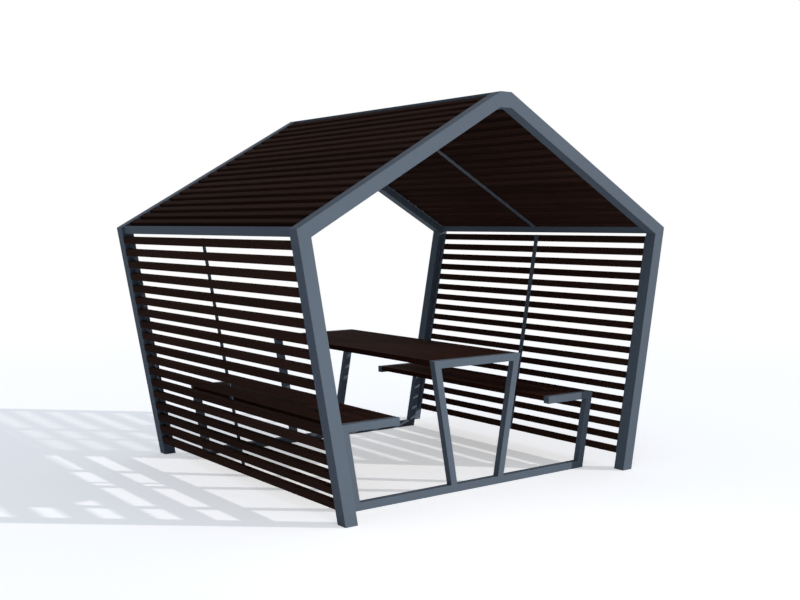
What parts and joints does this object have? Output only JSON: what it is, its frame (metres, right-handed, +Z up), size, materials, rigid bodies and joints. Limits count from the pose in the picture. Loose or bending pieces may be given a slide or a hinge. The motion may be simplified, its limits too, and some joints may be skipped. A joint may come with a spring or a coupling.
{
  "type": "garden shelter with picnic set",
  "caption": "Open gable-ended garden shelter of square steel tube with leaning slatted walls, a slatted pitched roof, and a free-standing table with benches inside.",
  "frame": {"origin": "on the ground, at the middle of the plan", "axes": "+X across the gable towards the right wall, +Y from the front gable to the rear one, +Z up"},
  "size_m": [2.65, 2.184, 2.213],
  "materials": {
    "coated_steel": "matt slate grey powder coat",
    "slat_timber": "dark brown stain",
    "top_timber": "dark brown stain"
  },
  "bodies": {
    "root": {"front_left_post": "coated_steel", "front_left_rafter": "coated_steel", "front_right_post": "coated_steel", "front_right_rafter": "coated_steel", "rear_left_post": "coated_steel", "rear_left_rafter": "coated_steel", "rear_right_post": "coated_steel", "rear_right_rafter": "coated_steel", "ridge_beam": "coated_steel", "left_eave_beam": "coated_steel", "left_wall_slats": "slat_timber", "left_roof_slats": "slat_timber", "left_wall_straps": "coated_steel", "left_roof_straps": "coated_steel", "right_eave_beam": "coated_steel", "right_wall_slats": "slat_timber", "right_roof_slats": "slat_timber", "right_wall_straps": "coated_steel", "right_roof_straps": "coated_steel", "front_floor_rail": "coated_steel", "front_table_rail": "coated_steel", "front_left_table_leg": "coated_steel", "front_left_bench_leg": "coated_steel", "front_left_bench_arm": "coated_steel", "front_right_table_leg": "coated_steel", "front_right_bench_leg": "coated_steel", "front_right_bench_arm": "coated_steel", "rear_floor_rail": "coated_steel", "rear_table_rail": "coated_steel", "rear_left_table_leg": "coated_steel", "rear_left_bench_leg": "coated_steel", "rear_left_bench_arm": "coated_steel", "rear_right_table_leg": "coated_steel", "rear_right_bench_leg": "coated_steel", "rear_right_bench_arm": "coated_steel", "table_top": "top_timber", "left_bench_seat": "top_timber", "right_bench_seat": "top_timber"}
  },
  "joints": []
}
